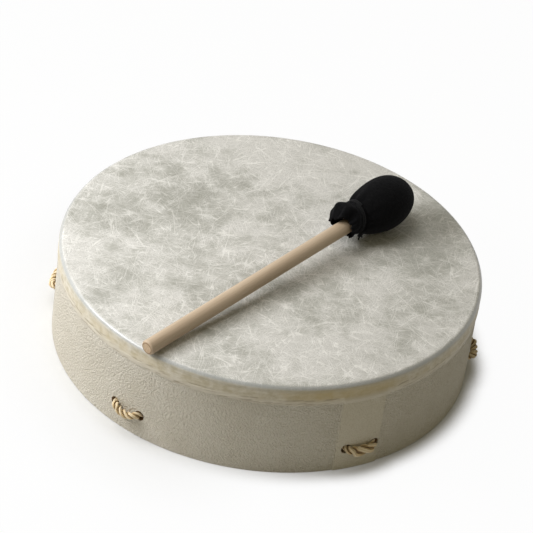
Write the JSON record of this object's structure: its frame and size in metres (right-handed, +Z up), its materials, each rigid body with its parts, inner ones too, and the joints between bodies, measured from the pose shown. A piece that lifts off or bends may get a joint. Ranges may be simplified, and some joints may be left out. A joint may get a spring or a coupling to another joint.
{
  "type": "frame drum with mallet",
  "caption": "Shallow round frame drum with a cloudy film head, cream wrapped hoop, twisted-rope handle laced across its open back, and a wooden mallet with a tied black cloth head on top.",
  "frame": {"origin": "on the drum's axis, in the plane of its lower rim, which rests on the surface", "axes": "+Z up along the drum's axis towards its head; +X right and +Y away, as the picture's camera sees it"},
  "size_m": [0.3681, 0.3556, 0.1342],
  "materials": {
    "hoop": "raw wood fibre, smooth",
    "wrap": "cream, fine pebble grain, matte",
    "adhesive": "clear yellowish",
    "film": "off-white, fibre-laminated, cloudy, satin",
    "rope": "tan twisted rope",
    "grip_rope": "tan twisted rope, closely laid",
    "maple": "pale, sanded, clear sealed",
    "core_rubber": "matte",
    "wool": "felted",
    "black_cloth": "black, soft nap",
    "black_cord": "black waxed cord"
  },
  "bodies": {
    "drum": {"shell": "hoop", "shell_cover": "wrap", "head_adhesive": "adhesive", "drumhead": "film", "rope_outer_loops": "rope", "rope_spokes": "rope", "rope_hitches": "rope", "rope_end_knot": "rope", "grip_ring": "grip_rope"},
    "mallet": {"mallet_stick": "maple", "mallet_core": "core_rubber", "mallet_padding": "wool", "mallet_cover": "black_cloth", "mallet_tie_cord": "black_cord", "mallet_tie_knot": "black_cord"}
  },
  "joints": [
    {"name": "mallet_lift", "type": "slide", "parent": "drum", "child": "mallet", "axis": [0, 0, 1], "range_m": [0, 0.3]}
  ]
}
